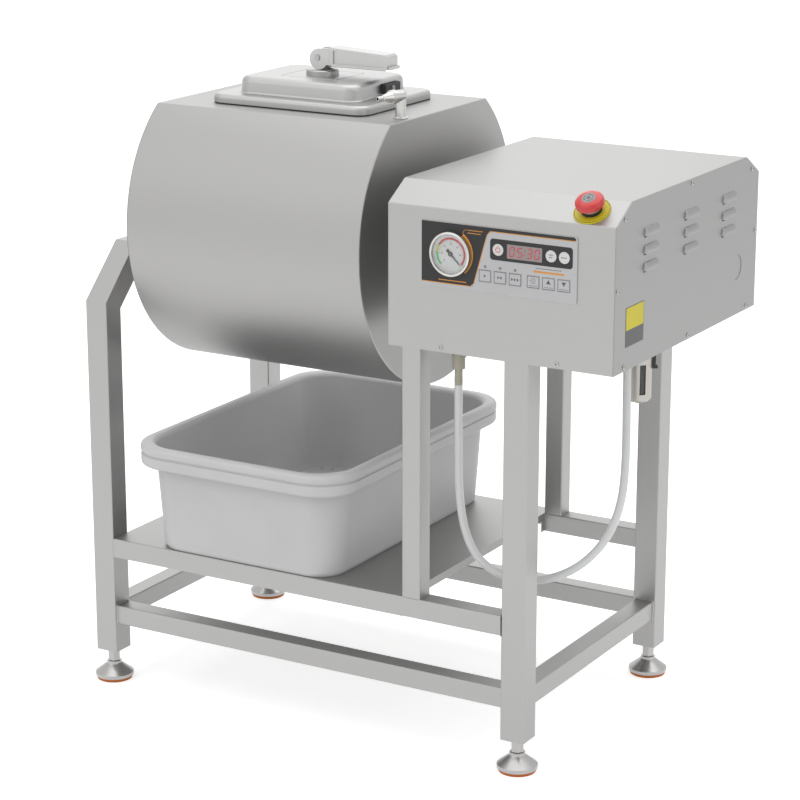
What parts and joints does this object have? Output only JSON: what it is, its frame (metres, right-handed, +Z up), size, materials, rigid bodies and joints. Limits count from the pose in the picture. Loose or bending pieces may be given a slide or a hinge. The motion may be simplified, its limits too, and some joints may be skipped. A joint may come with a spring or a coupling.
{
  "type": "meat vacuum tumbler",
  "caption": "Vacuum tumbler for meat: a clamped-lid stainless drum turns between a tube frame and a louvred control box above a drip tub.",
  "frame": {"origin": "on the floor, under the middle of the machine's bounding box", "axes": "+Z up, +X along the drum's axis towards the control box, -Y towards the operator"},
  "size_m": [0.902, 0.538, 0.9884],
  "materials": {
    "frame_tube": "vertical brushed stainless tube",
    "shelf_sheet": "brushed stainless sheet",
    "box_sheet": "fine brushed stainless sheet",
    "end_wall_steel": "stainless plate",
    "drum_steel": "satin stainless sheet",
    "lid_steel": "satin pressed stainless",
    "shaft_steel": "ground stainless bar",
    "coupling_steel": "machined steel hubs with a rubber spider",
    "bearing_casting": "painted casting",
    "fastener_steel": "plain stainless fasteners",
    "foot_steel": "turned stainless bell on an orange pad",
    "motor_paint": "grey enamel",
    "pump_casting": "die casting",
    "board": "solder-masked board",
    "panel_black": "printed panel",
    "key_face": "matt printed key",
    "gauge_metal": "polished bezel, white dial",
    "gauge_glass": "clear lens",
    "needle_black": "black needle",
    "estop_yellow": "yellow plate with a black collar",
    "estop_black": "black plastic",
    "estop_red": "red moulded head",
    "filter_metal": "satin cast guard",
    "black_plastic": "black moulding",
    "button_grey": "grey button",
    "coupler_cream": "cream moulding",
    "fitting_steel": "turned fittings",
    "hose_clear": "milky soft tube",
    "gasket_rubber": "black seal",
    "lever_cast": "satin die casting",
    "elbow_chrome": "polished nickel plate",
    "tub_plastic": "pale grey moulded plastic"
  },
  "bodies": {
    "machine": {"left_legs": "frame_tube", "left_arch": "frame_tube", "right_legs": "frame_tube", "inner_legs": "frame_tube", "mid_rails": "frame_tube", "low_rails": "frame_tube", "shelf": "shelf_sheet", "box_wrap": "box_sheet", "side_panel": "box_sheet", "box_floor": "box_sheet", "box_end_wall": "end_wall_steel", "pillow_block": "bearing_casting", "flange_bearing": "bearing_casting", "panel_screws": "fastener_steel", "bearing_bolts": "fastener_steel", "leg_plugs": "fastener_steel", "gearmotor": "motor_paint", "vacuum_pump": "pump_casting", "control_board": "board", "panel_overlay": "panel_black", "gauge_case": "gauge_metal", "gauge_lens": "gauge_glass", "estop_body": "estop_yellow", "filter_head": "filter_metal", "mains_gland": "black_plastic", "hose_coupler": "coupler_cream", "hose_fittings": "fitting_steel", "hose": "hose_clear"},
    "drum": {"drum_shell": "drum_steel", "opening_frame": "drum_steel", "drum_baffles": "drum_steel", "drum_shafts": "shaft_steel", "shaft_coupling": "coupling_steel", "elbow": "elbow_chrome"},
    "lid": {"lid_cover": "lid_steel", "lid_gasket": "gasket_rubber", "release_block": "black_plastic"},
    "release_button": {"release_button": "button_grey"},
    "thrust_disc": {"thrust_disc": "lid_steel"},
    "clamp_rod": {"clamp_rod": "shaft_steel"},
    "clamp_lever": {"clamp_lever": "lever_cast"},
    "gauge_needle": {"gauge_needle": "needle_black"},
    "estop_plunger": {"estop_plunger": "estop_black"},
    "estop_cap": {"estop_cap": "estop_red"},
    "filter_bowl": {"filter_bowl": "filter_metal"},
    "filter_lock": {"filter_lock": "black_plastic"},
    "tub": {"tub": "tub_plastic"},
    "key_power": {"key_power": "key_face"},
    "key_set": {"key_set": "key_face"},
    "key_start": {"key_start": "key_face"},
    "key_slow": {"key_slow": "key_face"},
    "key_medium": {"key_medium": "key_face"},
    "key_fast": {"key_fast": "key_face"},
    "key_mode": {"key_mode": "key_face"},
    "key_up": {"key_up": "key_face"},
    "key_down": {"key_down": "key_face"},
    "foot_front_left": {"foot_front_left": "foot_steel"},
    "foot_rear_left": {"foot_rear_left": "foot_steel"},
    "foot_front_right": {"foot_front_right": "foot_steel"},
    "foot_rear_right": {"foot_rear_right": "foot_steel"}
  },
  "joints": [
    {"name": "drum_spin", "type": "hinge", "parent": "machine", "child": "drum", "pos_m": [-0.1635, 0, 0.725], "axis": [1, 0, 0], "continuous": true},
    {"name": "lid_lift", "type": "slide", "parent": "drum", "child": "lid", "axis": [0, 0, 1], "range_m": [0, 0.1]},
    {"name": "clamp_turn", "type": "hinge", "parent": "lid", "child": "thrust_disc", "pos_m": [-0.1635, 0, 0.945], "axis": [0, 0, 1], "range_deg": [0, 90]},
    {"name": "rod_drop", "type": "slide", "parent": "thrust_disc", "child": "clamp_rod", "axis": [0, 0, -1], "range_m": [0, 0.00425]},
    {"name": "lever_flip", "type": "hinge", "parent": "clamp_rod", "child": "clamp_lever", "pos_m": [-0.1635, 0, 0.97192], "axis": [0, -1, 0], "range_deg": [0, 90]},
    {"name": "release_push", "type": "slide", "parent": "lid", "child": "release_button", "axis": [-1, 0, 0], "range_m": [0, 0.003], "stiffness_N_per_m": 300},
    {"name": "needle_turn", "type": "hinge", "parent": "machine", "child": "gauge_needle", "pos_m": [0.1954, -0.244, 0.7544], "axis": [0, -1, 0], "range_deg": [0, 270]},
    {"name": "estop_push", "type": "slide", "parent": "machine", "child": "estop_plunger", "axis": [0, 0.5131, -0.8583], "range_m": [0, 0.005], "stiffness_N_per_m": 1500},
    {"name": "estop_twist", "type": "hinge", "parent": "estop_plunger", "child": "estop_cap", "pos_m": [0.398, -0.21825, 0.8301], "axis": [0, -0.5131, 0.8583], "range_deg": [0, 35]},
    {"name": "bowl_turn", "type": "hinge", "parent": "machine", "child": "filter_bowl", "pos_m": [0.38, -0.02, 0.59], "axis": [0, 0, 1], "range_deg": [0, 45]},
    {"name": "lock_slide", "type": "slide", "parent": "filter_bowl", "child": "filter_lock", "axis": [0, 0, -1], "range_m": [0, 0.004], "stiffness_N_per_m": 200},
    {"name": "tub_pull", "type": "slide", "parent": "machine", "child": "tub", "axis": [0, -1, 0], "range_m": [0, 0.4]},
    {"name": "press_key_power", "type": "slide", "parent": "machine", "child": "key_power", "axis": [0, 1, 0], "range_m": [0, 0.0005], "stiffness_N_per_m": 800},
    {"name": "press_key_set", "type": "slide", "parent": "machine", "child": "key_set", "axis": [0, 1, 0], "range_m": [0, 0.0005], "stiffness_N_per_m": 800},
    {"name": "press_key_start", "type": "slide", "parent": "machine", "child": "key_start", "axis": [0, 1, 0], "range_m": [0, 0.0005], "stiffness_N_per_m": 800},
    {"name": "press_key_slow", "type": "slide", "parent": "machine", "child": "key_slow", "axis": [0, 1, 0], "range_m": [0, 0.0005], "stiffness_N_per_m": 800},
    {"name": "press_key_medium", "type": "slide", "parent": "machine", "child": "key_medium", "axis": [0, 1, 0], "range_m": [0, 0.0005], "stiffness_N_per_m": 800},
    {"name": "press_key_fast", "type": "slide", "parent": "machine", "child": "key_fast", "axis": [0, 1, 0], "range_m": [0, 0.0005], "stiffness_N_per_m": 800},
    {"name": "press_key_mode", "type": "slide", "parent": "machine", "child": "key_mode", "axis": [0, 1, 0], "range_m": [0, 0.0005], "stiffness_N_per_m": 800},
    {"name": "press_key_up", "type": "slide", "parent": "machine", "child": "key_up", "axis": [0, 1, 0], "range_m": [0, 0.0005], "stiffness_N_per_m": 800},
    {"name": "press_key_down", "type": "slide", "parent": "machine", "child": "key_down", "axis": [0, 1, 0], "range_m": [0, 0.0005], "stiffness_N_per_m": 800},
    {"name": "level_front_left", "type": "slide", "parent": "machine", "child": "foot_front_left", "axis": [0, 0, -1], "range_m": [0, 0.02]},
    {"name": "level_rear_left", "type": "slide", "parent": "machine", "child": "foot_rear_left", "axis": [0, 0, -1], "range_m": [0, 0.02]},
    {"name": "level_front_right", "type": "slide", "parent": "machine", "child": "foot_front_right", "axis": [0, 0, -1], "range_m": [0, 0.02]},
    {"name": "level_rear_right", "type": "slide", "parent": "machine", "child": "foot_rear_right", "axis": [0, 0, -1], "range_m": [0, 0.02]}
  ],
  "couplings": [
    {"joint": "rod_drop", "follows": "lever_flip", "m_per_rad": 0.002701}
  ]
}
